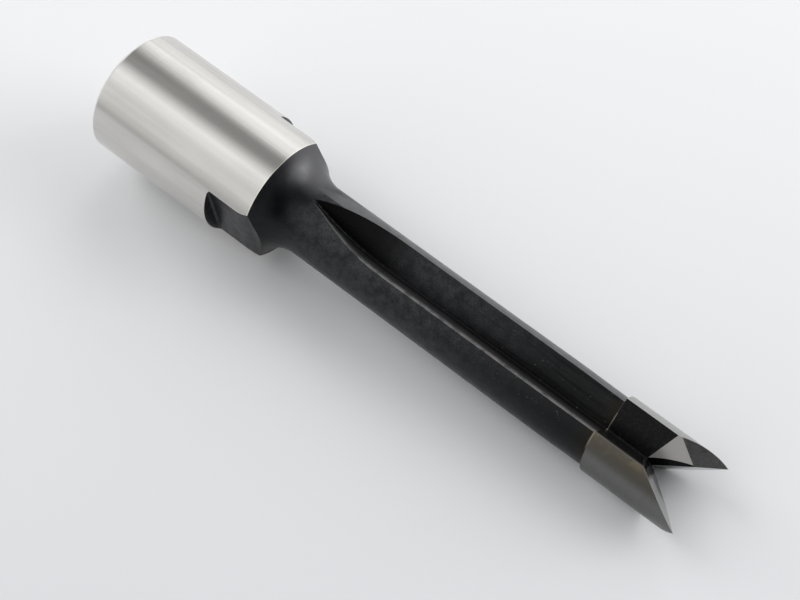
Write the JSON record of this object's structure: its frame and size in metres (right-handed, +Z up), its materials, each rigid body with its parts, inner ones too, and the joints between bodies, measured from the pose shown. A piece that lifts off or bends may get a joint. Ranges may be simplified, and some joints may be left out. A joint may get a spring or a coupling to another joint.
{
  "type": "mortising bit",
  "caption": "Straight-fluted mortising bit: thick threaded shank with wrench flats, slender stem and a brazed carbide head whose notched end is ground to sharp points that cut slots in wood.",
  "frame": {"origin": "on the bit's axis, at the flat back face of the shank", "axes": "+X along the bit's axis towards the cutting points; +Z up, in the middle of one of the two flutes, so that the lands and the cutting points lie along -Y and +Y"},
  "size_m": [0.1028, 0.019, 0.019],
  "materials": {
    "steel": "shank ground bright; neck, stem, flutes and wrench flats in satin black oxide",
    "braze": "satin silver-brass braze",
    "carbide": "finely ground tungsten carbide"
  },
  "bodies": {
    "root": {"steel_body": "steel", "braze_joint": "braze", "carbide_head": "carbide"}
  },
  "joints": []
}
